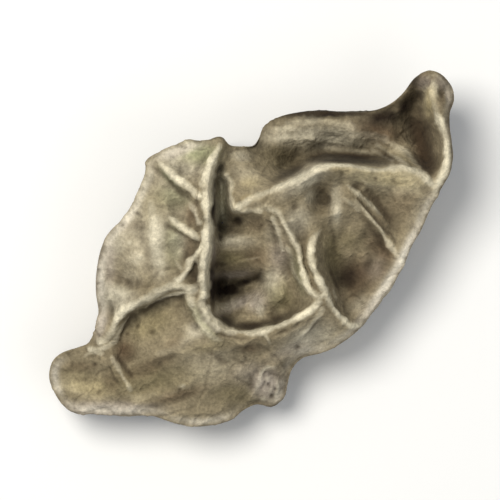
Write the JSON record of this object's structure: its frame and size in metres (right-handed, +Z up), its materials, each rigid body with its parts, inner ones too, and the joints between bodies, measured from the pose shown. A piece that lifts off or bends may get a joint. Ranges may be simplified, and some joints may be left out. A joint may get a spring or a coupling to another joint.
{
  "type": "wood ear mushroom",
  "caption": "Dried wood ear mushroom, a thin crumpled sheet with a ridged felted outer face, a deep pit, a smooth dark inner face and a margin rolled down all round.",
  "frame": {"origin": "centre of the footprint's bounding box, on the surface the mushroom lies on", "axes": "+Z up with the felted outer face up, +X along the longest extent towards the upturned curl, +Y towards the far hem"},
  "size_m": [0.037, 0.0326, 0.0135],
  "materials": {
    "felted_flesh": "matte"
  },
  "bodies": {
    "root": {"wood_ear": "felted_flesh"}
  },
  "joints": []
}
